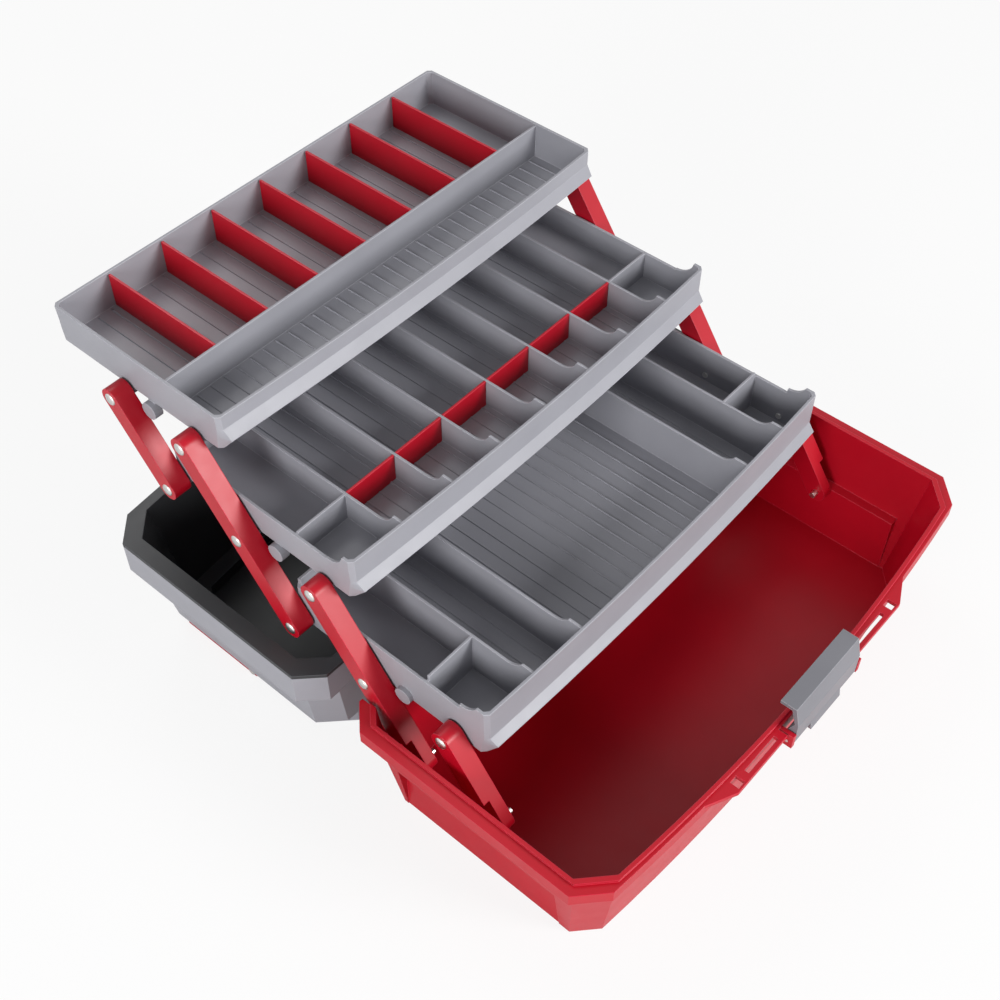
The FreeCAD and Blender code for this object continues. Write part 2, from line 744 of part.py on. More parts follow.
pocket(body, "liner_space_crown", crown_line, d.lid_shoulder)
node(open_lid(body), "lid_liner")

for side, word in ((1, "right"), (-1, "left")):
    near = hinge_place - d.hinge_knuckle * 3 / 2 - d.hinge_gap
    far = hinge_place + d.hinge_knuckle * 3 / 2 + d.hinge_gap
    low, high = (near, far) if side > 0 else (-far, -near)
    node(peg("hinge_rod_" + word, low, high, hinge_back, d.base_height,
             d.hinge_pin_radius), "hinge_pin_" + word)

# Carrying handle: one bail in the step round the crown of the lid
handle_top = crown - d.handle_floor_gap
handle_low = handle_top - d.handle_thick
arm_in = top_half + d.handle_gap
arm_out = arm_in + d.handle_arm
bar_in = top_front + d.handle_gap
bar_out = bar_in + d.handle_bar
body = new_body("handle_bail")
shape = new_sketch(body, "handle_outline", "XY_Plane", handle_low)
bail_end = d.handle_pivot + d.handle_eye
eye_cut = (d.handle_gap, d.handle_gap)
add_loop(shape, outline(arm_out, bar_out, bail_end, foot_cut, eye_cut), {0: d.foot_bow})
pad(body, "handle_form", shape, d.handle_thick)
shape = new_sketch(body, "handle_inner_outline", "XY_Plane", handle_low)
add_loop(shape, outline(arm_in, bar_in, bail_end + d.overrun, foot_cut, eye_cut),
         {0: d.foot_bow})
pocket(body, "handle_inside", shape, d.handle_thick)
bore = new_sketch(body, "handle_bore_outline", "YZ_Plane", -rim_half)
handle_axis = handle_low + d.handle_thick / 2
add_circle(bore, d.handle_pivot, handle_axis, d.handle_pin_radius + d.rivet_clearance)
pocket(body, "handle_bore", bore, d.base_length)
node(open_lid(body), "handle")
for side, word in ((1, "right"), (-1, "left")):
    far = arm_out + d.handle_pin_proud
    low, high = (top_half, arm_out) if side > 0 else (-arm_out, -top_half)
    shank = rod("handle_pin_rod_" + word, low, high, d.handle_pivot, handle_axis,
                d.handle_pin_radius)
    low, high = (arm_out, far) if side > 0 else (-far, -arm_out)
    head = peg("handle_pin_head_" + word, low, high, d.handle_pivot, handle_axis,
               d.handle_pin_head)
    node(open_lid(fuse("handle_pin_form_" + word, [shank, head])), "handle_pin_" + word)

# Linkage: two links on the base carry the lower tray, and so on upwards
lean = d.link_open_angle
step_y = d.tray_link * sine(lean)
step_z = d.tray_link * cosine(lean)
base_step_y = d.base_link * sine(lean)
base_step_z = d.base_link * cosine(lean)
lower_y = front_foot + base_step_y + d.pivot_front
lower_z = pivot_height + base_step_z + d.lower_pivot
middle_y = lower_y + d.pivot_spacing + step_y
middle_z = lower_z - d.lower_pivot + step_z + d.middle_pivot
upper_y = middle_y + d.pivot_spacing + step_y
upper_z = middle_z - d.middle_pivot + step_z + d.upper_pivot


def arm(name, foot_y, foot_z, holes, relief=False):
    """A bar with a bore at each pivot; a relief makes its foot thinner outside."""
    form = new_body("arm_form_" + name)
    side_face = new_sketch(form, "arm_outline_" + name, "YZ_Plane", arm_inner)
    add_slot(side_face, holes[-1], d.arm_radius)
    pad(form, "arm_bar_" + name, side_face, d.arm_thick)
    bores = new_sketch(form, "arm_bores_" + name, "YZ_Plane", arm_inner - d.overrun)
    for place in holes:
        add_circle(bores, zero, place, d.rivet_radius + d.rivet_clearance)
    pocket(form, "arm_bore_" + name, bores, d.arm_thick + d.overrun * 2)
    if relief:
        step = new_sketch(form, "arm_step_" + name, "YZ_Plane", arm_outer - d.arm_foot_relief)
        side = d.arm_radius + d.overrun
        add_loop(step, rectangle(-side, side, -side, d.arm_foot_length))
        pocket(form, "arm_foot_" + name, step, d.arm_foot_relief + d.overrun)
    form.Placement = Placement(Vector(0, 0, 0), Rotation(Vector(-1, 0, 0), lean.value))
    bind(form, "Placement.Rotation.Angle", lean)
    move(form, zero, foot_y, foot_z)
    node(form, "arm_" + name + "_right")
    node(mirror("arm_mirror_" + name, form), "arm_" + name + "_left")


arm("a", front_foot, pivot_height, [zero, d.base_link], relief=True)
arm("b", rear_foot, pivot_height, [zero, d.base_link, d.base_link + d.tray_link], relief=True)
arm("c", lower_y - d.pivot_front + d.pivot_spacing * 2, lower_z - d.lower_pivot,
    [zero, d.tray_link, d.tray_link * 2])
arm("d", middle_y - d.pivot_front + d.pivot_spacing * 2, middle_z - d.middle_pivot,
    [zero, d.tray_link])


def rivet(name, y, z, low, high):
    """Pin pressed into the wall, standing a little proud of its link."""
    shank = peg("shank_" + name, low, high + d.rivet_proud, y, z, d.rivet_radius)
    node(shank, "rivet_" + name + "_right")
    node(mirror("rivet_mirror_" + name, shank), "rivet_" + name + "_left")


bracket_in = arm_inner - d.bracket_gap - d.bracket_thick
foot_outer = arm_outer - d.arm_foot_relief
rivet("base_front", front_foot, pivot_height, bracket_in, foot_outer)
rivet("base_rear", rear_foot, pivot_height, bracket_in, foot_outer)

# Trays
tray_in = tray_half - d.tray_wall
lug_high = tray_half - d.tray_draft
lug_low = lug_high - d.lug_depth
places = (("front", -d.pivot_front), ("middle", d.pivot_spacing - d.pivot_front),
          ("rear", d.pivot_spacing * 2 - d.pivot_front))


def tray_sections(holder, name, inset, crease, ridge, low, rear):
    """Outlines from the rim through crease and ridge to the bottom."""
    corner = (d.tray_corner, d.tray_corner)
    ridge_cut = (d.ridge_inset, d.ridge_corner)
    levels = (
        ("rim", zero, d.tray_front, corner, zero),
        ("crease", -crease, d.tray_front, corner, d.tray_draft / 2),
        ("ridge", -ridge, d.tray_front + d.ridge_out, ridge_cut, d.tray_draft / 2),
        ("bottom", -low, d.tray_bottom_front, corner, d.tray_draft),
    )
    found = []
    for word, level, front, front_corner, draft in levels:
        line = new_sketch(holder, name + "_" + word + "_outline", "XY_Plane", level)
        add_loop(line, outline(tray_half - inset - draft, front - inset, rear - inset - draft,
                               front_corner, corner), {0: d.tray_bow})
        found.append(line)
    return found


def tray(name, y, z, depth, rear, crease, ridge, pivot, walls, pivots, drop):
    """Moulded tray: a flared shell with fixed walls, lugs, stops and lowered walls."""
    form = new_body(name + "_form")
    loft(form, name + "_shell", tray_sections(form, name, zero, crease, ridge, depth, rear))
    room = new_body(name + "_room")
    loft(room, name + "_hollow", tray_sections(room, name + "_in", d.tray_wall, crease, ridge,
                                               depth - d.tray_floor, rear))
    lines = new_sketch(room, name + "_wall_outline", "XY_Plane", -depth)
    for x_low, x_high, y_low, y_high in walls:
        add_loop(lines, rectangle(x_low, x_high, y_low, y_high))
    pocket(room, name + "_walls", lines, depth - d.divider_drop)
    solid = [form]
    tools = [room]
    stop = (d.pivot_spacing - d.pivot_front - d.stop_front, -pivot - d.stop_drop)
    lugs = [(word, place, -pivot, d.lug_radius, zero) for word, place in pivots]
    lugs.append(("stop", stop[0], stop[1], d.stop_radius, d.stop_thick))
    for word, place, level, radius, out in lugs:
        for side, hand in ((1, "right"), (-1, "left")):
            tag = name + "_" + word + "_" + hand
            near, far = lug_low, lug_high + out
            low, high = (near, far) if side > 0 else (-far, -near)
            solid.append(peg("lug_" + tag, low, high, place, level, radius))
            if level.value < (d.tray_floor - depth).value:
                low, high = (near, lug_high) if side > 0 else (-lug_high, -near)
                solid.append(block("lug_root_" + tag, low, high, place - radius / 2,
                                   place + radius / 2, level, d.tray_floor - depth))
            if word != "stop":
                low, high = (near - d.overrun, far + d.overrun) if side > 0 \
                    else (-far - d.overrun, d.overrun - near)
                tools.append(peg("lug_bore_" + tag, low, high, place, level, d.rivet_radius))
    if drop is not None:
        # Walls behind the front rim are lower, and rise to it in a hollow curve
        reach = tray_half + d.overrun
        tools.append(rod("scoop_round_" + name, -reach, reach, -d.scoop_place,
                         d.scoop_radius - drop, d.scoop_radius))
        tools.append(block("scoop_" + name, -reach, reach, -d.scoop_place, rear + d.overrun,
                           -drop, d.overrun))
        for side, hand in ((1, "right"), (-1, "left")):
            low, high = (lug_low, reach) if side > 0 else (-reach, -lug_low)
            tools.append(block("end_scoop_" + name + "_" + hand, low, high, -d.scoop_place,
                               rear + d.overrun, -d.end_wall_drop, d.overrun))
    whole = cut(name + "_cut", fuse(name + "_solid", solid), tools)
    node(move(whole, zero, y, z), name)
    for word, place in pivots:
        rivet(name.split("_")[1] + "_" + word, y + place, z - pivot, lug_low, arm_outer)


def upright(x, y_low, y_high):
    """A fixed wall across the tray at x."""
    half = d.tray_cell_wall / 2
    return (as_size(x) - half, as_size(x) + half, y_low, y_high)


def along(y, x_low, x_high):
    """A fixed wall along the tray at y."""
    half = d.tray_cell_wall / 2
    return (x_low, x_high, as_size(y) - half, as_size(y) + half)


front_end = -d.tray_front - d.tray_bow - d.ridge_out * 2
cross = -d.cross_wall_place
lower_walls = []
for sign in (1, -1):
    for x in (d.lower_cell, d.lower_cell + d.lower_end_cell):
        lower_walls.append(upright(x * sign, front_end, d.lower_rear + d.overrun))
    low, high = (d.lower_cell + d.lower_end_cell + d.tray_cell_wall / 2, tray_half)
    low, high = (low, high) if sign > 0 else (-high, -low)
    lower_walls.append(along(cross, low, high))
tray("tray_lower", lower_y, lower_z, d.lower_depth, d.lower_rear, d.lower_crease,
     d.lower_ridge, d.lower_pivot, lower_walls, places, d.lower_wall_drop)

middle_walls = []
for number in (-3, -2, -1, 0, 1, 2, 3):
    middle_walls.append(upright(d.middle_cell * number, front_end, d.middle_rear + d.overrun))
for sign in (1, -1):
    low, high = (d.middle_cell * 3 + d.tray_cell_wall / 2, tray_half)
    low, high = (low, high) if sign > 0 else (-high, -low)
    middle_walls.append(along(cross, low, high))
tray("tray_middle", middle_y, middle_z, d.middle_depth, d.middle_rear, d.middle_crease,
     d.middle_ridge, d.middle_pivot, middle_walls, places, d.middle_wall_drop)

tray("tray_upper", upper_y, upper_z, d.upper_depth, d.upper_rear, d.upper_crease,
     d.upper_ridge, d.upper_pivot, [along(cross, -tray_half, tray_half)], places[:2], None)

# Loose dividers in the upper and middle trays
half = d.divider_thick / 2
for number in range(7):
    x = d.upper_cell * (number - 3)
    node(block("upper_divider_form_%d" % (number + 1), x - half, x + half,
               upper_y + cross + d.tray_cell_wall / 2 + d.divider_gap,
               upper_y + d.upper_rear - d.tray_wall - d.tray_draft - d.divider_gap,
               upper_z - d.upper_depth + d.tray_floor, upper_z - d.divider_drop),
         "upper_divider_%d" % (number + 1))
for number in range(6):
    left = d.middle_cell * (number - 3) + d.tray_cell_wall / 2 + d.divider_gap
    right = d.middle_cell * (number - 2) - d.tray_cell_wall / 2 - d.divider_gap
    node(block("middle_divider_form_%d" % (number + 1), left, right,
               middle_y + cross - half, middle_y + cross + half,
               middle_z - d.middle_depth + d.tray_floor, middle_z - d.middle_wall_drop),
         "middle_divider_%d" % (number + 1))

doc.recompute()

# Nothing is written unless every object and every piece is sound
for item in doc.Objects:
    if "Invalid" in item.State or "Error" in item.State:
        raise RuntimeError("failed: " + item.Name + " " + str(item.State))
for name, item in NODES:
    if item.Shape.isNull() or not item.Shape.isValid():
        raise RuntimeError("bad shape: " + name)
os.makedirs("parts", exist_ok=True)
for name, item in NODES:
    item.Shape.exportStep("parts/" + name + ".step")
    box = item.Shape.BoundBox
    print("%-24s solids %d volume %10.1f  x %7.1f..%7.1f y %7.1f..%7.1f z %7.1f..%7.1f" % (
        name, len(item.Shape.Solids), item.Shape.Volume, box.XMin, box.XMax, box.YMin,
        box.YMax, box.ZMin, box.ZMax))
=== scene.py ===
"""Cantilever tool box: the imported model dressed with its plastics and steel, on a white studio floor."""
import math

import bpy
import numpy as np
from bpy.props import FloatProperty, PointerProperty, StringProperty
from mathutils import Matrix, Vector


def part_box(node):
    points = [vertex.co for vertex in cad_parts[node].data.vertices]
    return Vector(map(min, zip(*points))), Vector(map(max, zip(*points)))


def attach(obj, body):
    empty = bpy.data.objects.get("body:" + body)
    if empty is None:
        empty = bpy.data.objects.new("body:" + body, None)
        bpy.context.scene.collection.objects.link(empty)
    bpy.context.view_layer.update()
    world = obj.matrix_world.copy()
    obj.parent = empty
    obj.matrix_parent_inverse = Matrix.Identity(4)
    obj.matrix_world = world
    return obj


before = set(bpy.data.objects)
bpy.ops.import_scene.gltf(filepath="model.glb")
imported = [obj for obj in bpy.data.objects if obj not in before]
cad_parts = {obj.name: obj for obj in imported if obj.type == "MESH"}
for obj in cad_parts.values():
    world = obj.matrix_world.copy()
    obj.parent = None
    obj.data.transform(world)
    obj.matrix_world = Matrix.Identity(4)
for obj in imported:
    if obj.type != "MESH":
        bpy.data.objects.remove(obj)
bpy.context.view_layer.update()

# Rivets, in metres: how far a pin's end stands proud of its link, and its head's radius, rise and sunken seat
PROUD = 0.0007
HEAD_RADIUS = 0.0042
HEAD_RISE = 0.0014
HEAD_SINK = 0.0002

# Floor ribs, in metres: width, rise, sunken foot, and how far from the tray's rear edge they end
RIB_WIDTH = 0.0014
RIB_RISE = 0.0007
RIB_SINK = 0.0002
RIB_END = 0.004

# Depth of each tray's floor below its rim, in metres
UPPER_FLOOR = 0.0252
MIDDLE_FLOOR = 0.0317
LOWER_FLOOR = 0.0402

# Where the floor ribs lie, in metres from the tray's rear edge or from its middle
TROUGH_FRONT = 0.1455
TROUGH_REAR = 0.1015
REAR_CELLS_FRONT = 0.0985
MIDDLE_FRONT = 0.1505
MIDDLE_HALF = 0.124
MIDDLE_SHARE = 0.995
LOWER_FRONT = 0.148
LOWER_SIDE = 0.084

# Number of floor ribs to each side of a tray's middle, and in each of the lower tray's side cells
UPPER_RIBS = 15
MIDDLE_RIBS = 12
LOWER_RIBS = 7
LOWER_SIDE_RIBS = 3

# Camera, in metres: where it stands and which way it looks, as fitted to the photograph
CAMERA_PLACE = (-0.4861, -0.2750, 0.8168)
CAMERA_VIEW = (0.49532, 0.42878, -0.75552)
SENSOR_WIDTH = 36.0
FAR_LIMIT = 50.0

# Lamps: place and target in metres, side of the square in metres, power in watts
LAMPS = {
    "key": ((0.7, -2.2, 1.15), (0.0, 0.1, 0.12), 0.9, 60.0),
    "fill": ((-2.1, -0.3, 0.9), (0.0, 0.1, 0.12), 1.0, 34.0),
    "back": ((0.5, 1.6, 1.9), (0.0, 0.1, 0.1), 1.0, 12.0),
}
# Strength of the white surroundings as light, and the share of the floor that the camera sees as pure white
SOFT_LIGHT = 0.34
WHITE_SHARE = 0.86

bl_info = {
    "name": "Cantilever tool box",
    "version": (1, 0, 0),
    "blender": (4, 5, 0),
    "location": "3D view > Sidebar > Tool box",
    "description": "Dresses the cantilever tool box and sets its studio",
    "category": "Object",
}


def linear(code):
    """An sRGB hex colour as linear red, green, blue and alpha."""
    shares = [int(code[i:i + 2], 16) / 255 for i in (1, 3, 5)]
    return [s / 12.92 if s <= 0.04045 else ((s + 0.055) / 1.055) ** 2.4 for s in shares] + [1.0]


def add(tree, kind, links=None, **settings):
    """Adds a node: settings are its own properties or its inputs by name, links are its inputs by name."""
    node = tree.nodes.new(kind)
    for key, value in settings.items():
        if hasattr(node, key):
            setattr(node, key, value)
        else:
            node.inputs[key.replace("_", " ")].default_value = value
    for key, source in (links or {}).items():
        tree.links.new(source, node.inputs[key])
    return node


def new_material(name):
    """An empty material with its output node."""
    material = bpy.data.materials.new(name)
    material.use_nodes = True
    material.node_tree.nodes.clear()
    return material, material.node_tree, add(material.node_tree, "ShaderNodeOutputMaterial")


def moulded_plastic(name, low, high, highlight_colour, roughness, grain):
    """Injection-moulded polypropylene: two close tones that cloud slowly, a fine spark-eroded grain, and
    edges that the mould rounds, with a painted highlight that makes them a little paler. A noise's scale is
    counts to the metre: clouds of 36 mm, patches of 11 mm where the skin is rougher, and a grain of 0.7 mm,
    coarser than the real one so that it shows."""
    material, tree, output = new_material(name)
    place = add(tree, "ShaderNodeTexCoord").outputs["Object"]
    cloud = add(tree, "ShaderNodeTexNoise", {"Vector": place}, Scale=28.0, Detail=3.0)
    tone = add(tree, "ShaderNodeMix", {"Factor": cloud.outputs["Fac"]}, data_type="RGBA")
    tone.inputs["A"].default_value = linear(low)
    tone.inputs["B"].default_value = linear(high)
    # Painted highlight: edges are painted paler where the rounded normal leaves the flat face's own
    edge = add(tree, "ShaderNodeBevel", samples=8, Radius=0.0007)
    flat = add(tree, "ShaderNodeNewGeometry").outputs["True Normal"]
    along = add(tree, "ShaderNodeVectorMath", {0: edge.outputs["Normal"], 1: flat}, operation="DOT_PRODUCT")
    painted_highlight_mask = add(tree, "ShaderNodeMapRange", {"Value": along.outputs["Value"]})
    painted_highlight_mask.inputs["From Min"].default_value = 0.99
    painted_highlight_mask.inputs["From Max"].default_value = 0.8
    painted_highlight_mask.inputs["To Max"].default_value = 0.6
    tone_with_painted_highlight = add(tree, "ShaderNodeMix", {"Factor": painted_highlight_mask.outputs["Result"], "A": tone.outputs["Result"]},
               data_type="RGBA")
    # The paler colour of the painted edge highlight
    tone_with_painted_highlight.inputs["B"].default_value = linear(highlight_colour)
    speck = add(tree, "ShaderNodeTexNoise", {"Vector": place}, Scale=1400.0, Detail=2.0)
    rub = add(tree, "ShaderNodeTexNoise", {"Vector": place}, Scale=90.0, Detail=4.0)
    rough = add(tree, "ShaderNodeMapRange", {"Value": rub.outputs["Fac"]})
    rough.inputs["To Min"].default_value = roughness - 0.05
    rough.inputs["To Max"].default_value = roughness + 0.06
    bump = add(tree, "ShaderNodeBump", {"Height": speck.outputs["Fac"], "Normal": edge.outputs["Normal"]},
               Strength=grain, Distance=0.00005)
    shader = add(tree, "ShaderNodeBsdfPrincipled", {
        "Base Color": tone_with_painted_highlight.outputs["Result"], "Roughness": rough.outputs["Result"],
        "Normal": bump.outputs["Normal"]}, IOR=1.49)
    shader.inputs["Specular IOR Level"].default_value = 0.35
    tree.links.new(shader.outputs["BSDF"], output.inputs["Surface"])
    return material


def red_polypropylene(look):
    """Red polypropylene with a smooth, half-gloss skin: the tub, links, handle and dividers."""
    # The third colour is the painted highlight along the edges
    return moulded_plastic("red_polypropylene", look.red_deep, look.red, "#E0405A", 0.36, 0.25)


def grey_polypropylene(look):
    """Mid-grey polypropylene, a little duller: the trays and the lid's shell."""
    # The third colour is the painted highlight along the edges
    return moulded_plastic("grey_polypropylene", look.grey_deep, look.grey, "#D4D4DC", 0.42, 0.35)


def dark_grey_polypropylene(look):
    """Darker grey polypropylene of the latch."""
    # The third colour is the painted highlight along the edges
    return moulded_plastic("dark_grey_polypropylene", look.latch_deep, look.latch, "#C8C8CE", 0.4, 0.35)


def black_polypropylene(look):
    """Charcoal polypropylene of the lid's liner."""
    # The third colour is the painted highlight along the edges
    return moulded_plastic("black_polypropylene", look.black_deep, look.black, "#6A6C70", 0.42, 0.35)


def zinc_plated_steel(look):
    """Zinc-plated steel of the rivets and pins: bright, with patches of 4 mm where the plating is duller."""
    material, tree, output = new_material("zinc_plated_steel")
    place = add(tree, "ShaderNodeTexCoord").outputs["Object"]
    cloud = add(tree, "ShaderNodeTexNoise", {"Vector": place}, Scale=260.0, Detail=3.0)
    rough = add(tree, "ShaderNodeMapRange", {"Value": cloud.outputs["Fac"]})
    rough.inputs["To Min"].default_value = 0.22
    rough.inputs["To Max"].default_value = 0.42
    tone = add(tree, "ShaderNodeMix", {"Factor": cloud.outputs["Fac"]}, data_type="RGBA")
    tone.inputs["A"].default_value = linear(look.steel)
    tone.inputs["B"].default_value = linear("#E9E9E6")
    edge = add(tree, "ShaderNodeBevel", samples=6, Radius=0.0005)
    shader = add(tree, "ShaderNodeBsdfPrincipled", {
        "Base Color": tone.outputs["Result"], "Roughness": rough.outputs["Result"],
        "Normal": edge.outputs["Normal"]}, Metallic=1.0)
    tree.links.new(shader.outputs["BSDF"], output.inputs["Surface"])
    return material


def dress(names, material):
    """Gives each named node the material."""
    for name in names:
        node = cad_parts[name]
        node.data.materials.clear()
        node.data.materials.append(material)


def named(*starts):
    """Names of the nodes that start with one of the words."""
    return sorted(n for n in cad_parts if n.startswith(starts))


def finish_of(maker):
    """The material of the same name as its maker function, made once."""
    return bpy.data.materials.get(maker.__name__) or maker(bpy.context.scene.tool_box_look)


def new_piece(name, points, faces, body, material):
    """Makes a smooth mesh piece from an array of points and a list of faces, and lets it ride on a body."""
    mesh = bpy.data.meshes.new(name)
    mesh.from_pydata(points.reshape(-1, 3).tolist(), [], faces)
    mesh.shade_smooth()
    mesh.materials.append(material)
    item = bpy.data.objects.new(name, mesh)
    bpy.context.scene.collection.objects.link(item)
    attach(item, body)
    return item


def ring_faces(rows, columns, first):
    """Faces of a row of closed rings, counted from the first point, with a flat cap on both end rings."""
    row, column = np.meshgrid(np.arange(rows - 1), np.arange(columns), indexing="ij")
    after = (column + 1) % columns
    faces = np.stack([row * columns + column, row * columns + after, (row + 1) * columns + after,
                      (row + 1) * columns + column], axis=-1).reshape(-1, 4) + first
    start = np.arange(columns)[::-1] + first
    end = np.arange(columns) + first + (rows - 1) * columns
    return faces.tolist() + [start.tolist(), end.tolist()]


def heads(name, nodes, body, material):
    """Button heads of the rivets: the head's radius times the cosine and its rise times the sine of an angle
    that goes from the seat to the crown, turned about each pin's own axis."""
    lift = np.linspace(0.0, 0.49 * math.pi, 8)
    out = HEAD_RADIUS * np.concatenate([[1.0], np.cos(lift)])[:, None]
    up = np.concatenate([[-HEAD_SINK], HEAD_RISE * np.sin(lift)])[:, None]
    turn = np.linspace(0.0, 2 * math.pi, 32, endpoint=False)
    points, faces = [], []
    for number, node in enumerate(nodes):
        low, high = (np.array(corner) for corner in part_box(node))
        side = 1.0 if high[0] > 0 else -1.0
        face = (high[0] if side > 0 else -low[0]) - PROUD
        middle = (low + high) / 2
        head = np.stack([side * (face + up) + 0 * turn, middle[1] + out * np.cos(turn),
                         middle[2] + side * out * np.sin(turn)], axis=-1)
        points.append(head.reshape(-1, 3))
        faces += ring_faces(len(up), len(turn), number * head.size // 3)
    return new_piece(name, np.concatenate(points), faces, body, material)


def floor_ribs(name, tray, drop, rows, material):
    """Low ribs moulded on a tray's floor: each is half a sine wave across, straight along Y, and fades to
    nothing over its last millimetres, with its flat foot sunk into the floor. A row has the ribs' places
    along X and the distances of their front and rear ends from the tray's rear edge."""
    low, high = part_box(tray)
    floor = high[2] - drop
    across = np.linspace(0.0, math.pi, 7)
    along = np.array([0.0, 0.02, 0.05, 0.95, 0.98, 1.0])
    fade = np.array([0.0, 0.7, 1.0, 1.0, 0.7, 0.0])
    side = np.concatenate([-np.cos(across), [1.0, -1.0]]) * RIB_WIDTH / 2
    lift = RIB_RISE * np.outer(fade, np.concatenate([np.sin(across), [0.0, 0.0]]))
    lift[:, -2:] = -RIB_SINK
    points, faces = [], []
    for places, front, rear in rows:
        ys = high[1] - front + (front - rear) * along[:, None] + 0 * side
        for x in places:
            rib = np.stack([x + side + 0 * lift, ys, floor + lift], axis=-1)
            faces += ring_faces(len(along), len(side), len(points) * rib.size // 3)
            points.append(rib.reshape(-1, 3))
    return new_piece(name, np.concatenate(points), faces, tray, material)


def colour(name, description, code):
    """A setting for a colour, as an sRGB hex code."""
    return StringProperty(name=name, description=description + ", sRGB hex", default=code)


class ToolBoxLook(bpy.types.PropertyGroup):
    """Colours of the tool box, and the spacing of the ribs on its floors."""
    red: colour("Red", "Lighter tone of the red plastic", "#B80A22")
    red_deep: colour("Deep red", "Darker tone of the red plastic", "#A8061C")
    grey: colour("Grey", "Lighter tone of the grey plastic", "#9C9CA3")
    grey_deep: colour("Deep grey", "Darker tone of the grey plastic", "#909097")
    black: colour("Charcoal", "Lighter tone of the liner", "#3A3B3D")
    black_deep: colour("Deep charcoal", "Darker tone of the liner", "#313234")
    latch: colour("Latch grey", "Lighter tone of the latch", "#7C7C82")
    latch_deep: colour("Deep latch grey", "Darker tone of the latch", "#6E6E74")
    rib_pitch: FloatProperty(name="Rib pitch", description="Spacing of the floor ribs", default=0.01045,
                             unit="LENGTH")
    steel: colour("Steel", "Darker tone of the plated steel", "#CFCFCB")


class ToolBoxStudio(bpy.types.PropertyGroup):
    """Sizes of the studio round the box."""
    floor: FloatProperty(name="Floor", description="Half the floor's side", default=6.0, unit="LENGTH")
    lens: FloatProperty(name="Lens", description="Focal length in millimetres", default=51.99, unit="CAMERA")


class TOOLBOX_OT_tub(bpy.types.Operator):
    """Dresses the base tub and its latch"""
    bl_idname = "toolbox.tub"
    bl_label = "Base tub and latch"

    def execute(self, context):
        dress(["base_tub"], finish_of(red_polypropylene))
        dress(["latch"], finish_of(dark_grey_polypropylene))
        return {"FINISHED"}


class TOOLBOX_OT_lid(bpy.types.Operator):
    """Dresses the lid's shell and liner and the carrying handle"""
    bl_idname = "toolbox.lid"
    bl_label = "Lid and handle"

    def execute(self, context):
        dress(["lid_shell"], finish_of(grey_polypropylene))
        dress(["lid_liner"], finish_of(black_polypropylene))
        dress(["handle"], finish_of(red_polypropylene))
        return {"FINISHED"}


class TOOLBOX_OT_trays(bpy.types.Operator):
    """Dresses the three trays"""
    bl_idname = "toolbox.trays"
    bl_label = "Trays"

    def execute(self, context):
        grey = finish_of(grey_polypropylene)
        dress(named("tray_"), grey)
        pitch = context.scene.tool_box_look.rib_pitch
        trough = np.arange(-UPPER_RIBS, UPPER_RIBS + 1) * pitch
        between = (np.arange(-UPPER_RIBS, UPPER_RIBS) + 0.5) * pitch
        floor_ribs("upper_floor_ribs", "tray_upper", UPPER_FLOOR,
                   [(trough, TROUGH_FRONT, TROUGH_REAR), (between, REAR_CELLS_FRONT, RIB_END)], grey)
        between = (np.arange(-MIDDLE_RIBS, MIDDLE_RIBS) + 0.5) * pitch * MIDDLE_SHARE
        floor_ribs("middle_floor_ribs", "tray_middle", MIDDLE_FLOOR,
                   [(between[abs(between) < MIDDLE_HALF], MIDDLE_FRONT, RIB_END)], grey)
        centre = np.arange(-LOWER_RIBS, LOWER_RIBS + 1) * pitch
        side = np.arange(1, LOWER_SIDE_RIBS + 1) * pitch + LOWER_SIDE
        floor_ribs("lower_floor_ribs", "tray_lower", LOWER_FLOOR,
                   [(places, LOWER_FRONT, RIB_END) for places in (centre, side, -side)], grey)
        return {"FINISHED"}


class TOOLBOX_OT_dividers(bpy.types.Operator):
    """Dresses the red dividers"""
    bl_idname = "toolbox.dividers"
    bl_label = "Dividers"

    def execute(self, context):
        dress(named("upper_divider", "middle_divider"), finish_of(red_polypropylene))
        return {"FINISHED"}


class TOOLBOX_OT_links(bpy.types.Operator):
    """Dresses the links"""
    bl_idname = "toolbox.links"
    bl_label = "Links"

    def execute(self, context):
        dress(named("arm_"), finish_of(red_polypropylene))
        return {"FINISHED"}


class TOOLBOX_OT_pins(bpy.types.Operator):
    """Dresses the rivets and pins"""
    bl_idname = "toolbox.pins"
    bl_label = "Rivets and pins"

    def execute(self, context):
        steel = finish_of(zinc_plated_steel)
        dress(named("rivet_", "hinge_pin", "latch_pin", "handle_pin"), steel)
        for body, word in (("base", "base"), ("tray_lower", "lower"), ("tray_middle", "middle"),
                           ("tray_upper", "upper")):
            heads("rivet_heads_" + word, named("rivet_%s_" % word), body, steel)
        return {"FINISHED"}


def white_floor():
    """Matt white studio board: the camera sees it almost pure white, with a faint part of the shadow."""
    material, tree, output = new_material("white_studio_board")
    board = add(tree, "ShaderNodeBsdfDiffuse")
    board.inputs["Color"].default_value = linear("#E4E4E4")
    glow = add(tree, "ShaderNodeEmission", Strength=1.0)
    glow.inputs["Color"].default_value = linear("#FFFFFF")
    path = add(tree, "ShaderNodeLightPath")
    share = add(tree, "ShaderNodeMath", {0: path.outputs["Is Camera Ray"]}, operation="MULTIPLY")
    share.inputs[1].default_value = WHITE_SHARE
    mix = add(tree, "ShaderNodeMixShader", {0: share.outputs[0], 1: board.outputs[0], 2: glow.outputs[0]})
    tree.links.new(mix.outputs[0], output.inputs["Surface"])
    return material


def lamp(name, place, target, size, watts):
    """A square soft lamp that looks at the target."""
    data = bpy.data.lights.new(name, "AREA")
    data.shape = "SQUARE"
    data.size = size
    data.energy = watts
    item = bpy.data.objects.new(name, data)
    item.location = place
    item.rotation_euler = (Vector(target) - Vector(place)).to_track_quat("-Z", "Y").to_euler()
    bpy.context.scene.collection.objects.link(item)
    return item


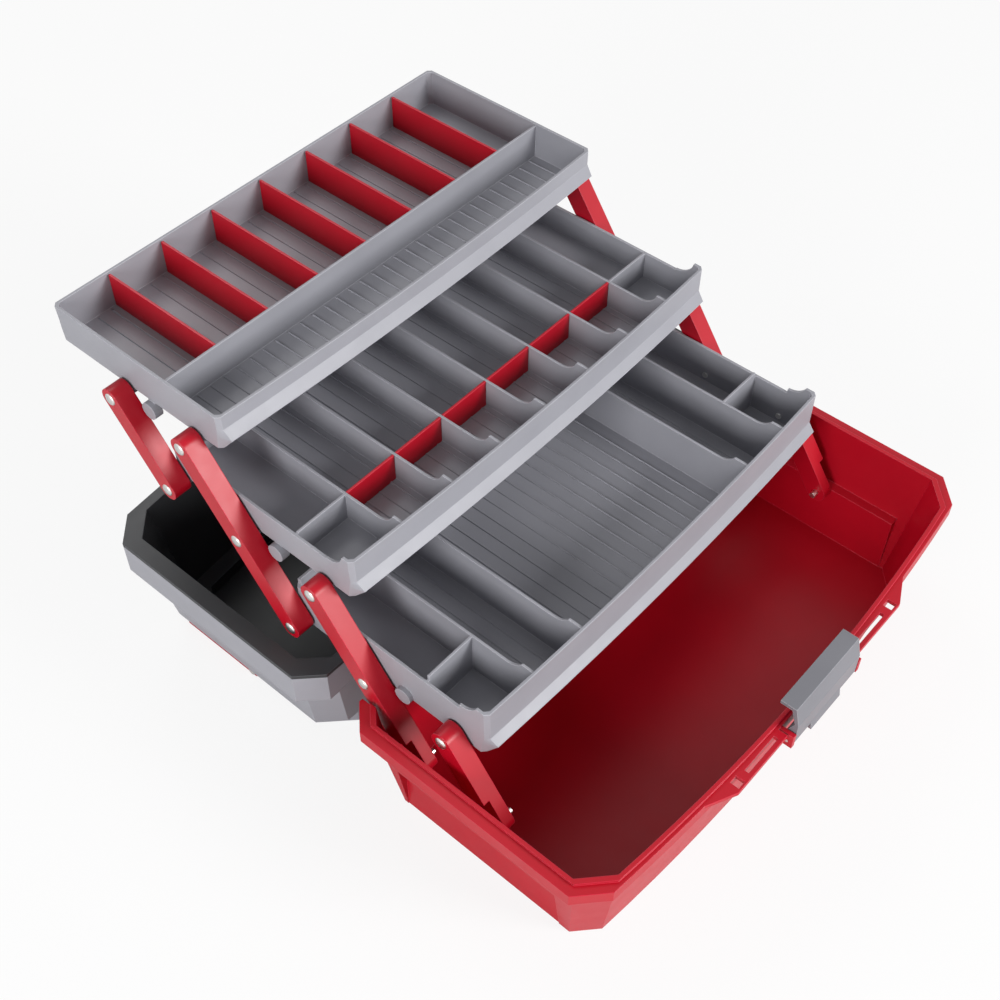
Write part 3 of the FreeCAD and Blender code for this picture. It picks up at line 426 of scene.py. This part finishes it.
class TOOLBOX_OT_stage(bpy.types.Operator):
    """Makes the floor, the lamps, the world and the camera"""
    bl_idname = "toolbox.stage"
    bl_label = "Studio"

    def execute(self, context):
        studio = context.scene.tool_box_studio
        half = studio.floor
        mesh = bpy.data.meshes.new("floor")
        corners = [(-half, -half, 0), (half, -half, 0), (half, half, 0), (-half, half, 0)]
        mesh.from_pydata(corners, [], [(0, 1, 2, 3)])
        floor = bpy.data.objects.new("floor", mesh)
        floor.data.materials.append(white_floor())
        context.scene.collection.objects.link(floor)
        world = bpy.data.worlds.new("studio")
        world.use_nodes = True
        tree = world.node_tree
        tree.nodes.clear()
        path = add(tree, "ShaderNodeLightPath")
        rays = {0: path.outputs["Is Camera Ray"], 1: path.outputs["Is Glossy Ray"]}
        glossy = add(tree, "ShaderNodeMath", rays, operation="MAXIMUM")
        rays = {0: glossy.outputs[0], 1: path.outputs["Is Transmission Ray"]}
        seen = add(tree, "ShaderNodeMath", rays, operation="MAXIMUM")
        soft = add(tree, "ShaderNodeBackground", Strength=SOFT_LIGHT)
        soft.inputs["Color"].default_value = linear("#FFFFFF")
        white = add(tree, "ShaderNodeBackground", Strength=1.0)
        white.inputs["Color"].default_value = linear("#FFFFFF")
        mix = add(tree, "ShaderNodeMixShader", {0: seen.outputs[0], 1: soft.outputs[0], 2: white.outputs[0]})
        add(tree, "ShaderNodeOutputWorld", {"Surface": mix.outputs[0]})
        context.scene.world = world
        for name, settings in LAMPS.items():
            lamp(name, *settings)
        data = bpy.data.cameras.new("camera")
        data.lens = studio.lens
        data.sensor_width = SENSOR_WIDTH
        data.clip_end = FAR_LIMIT
        camera = bpy.data.objects.new("camera", data)
        camera.location = CAMERA_PLACE
        camera.rotation_euler = Vector(CAMERA_VIEW).to_track_quat("-Z", "Y").to_euler()
        context.scene.collection.objects.link(camera)
        context.scene.camera = camera
        context.scene.view_settings.view_transform = "Standard"
        return {"FINISHED"}


class TOOLBOX_PT_panel(bpy.types.Panel):
    """Lists the steps that dress the tool box"""
    bl_label = "Tool box"
    bl_idname = "TOOLBOX_PT_panel"
    bl_space_type = "VIEW_3D"
    bl_region_type = "UI"
    bl_category = "Tool box"

    def draw(self, context):
        column = self.layout.column()
        for name in ToolBoxLook.__annotations__:
            column.prop(context.scene.tool_box_look, name)
        for name in ToolBoxStudio.__annotations__:
            column.prop(context.scene.tool_box_studio, name)
        for step in STEPS:
            column.operator(step.bl_idname)


STEPS = (TOOLBOX_OT_tub, TOOLBOX_OT_lid, TOOLBOX_OT_trays, TOOLBOX_OT_dividers, TOOLBOX_OT_links,
         TOOLBOX_OT_pins, TOOLBOX_OT_stage)
CLASSES = (ToolBoxLook, ToolBoxStudio) + STEPS + (TOOLBOX_PT_panel,)


def register():
    """Registers the classes and the scene's settings."""
    for item in CLASSES:
        bpy.utils.register_class(item)
    bpy.types.Scene.tool_box_look = PointerProperty(type=ToolBoxLook)
    bpy.types.Scene.tool_box_studio = PointerProperty(type=ToolBoxStudio)


def unregister():
    """Removes them again."""
    del bpy.types.Scene.tool_box_studio
    del bpy.types.Scene.tool_box_look
    for item in reversed(CLASSES):
        bpy.utils.unregister_class(item)


def main():
    """Calls each step in order."""
    register()
    for step in STEPS:
        area, name = step.bl_idname.split(".")
        getattr(getattr(bpy.ops, area), name)()


if __name__ == "__main__":
    main()
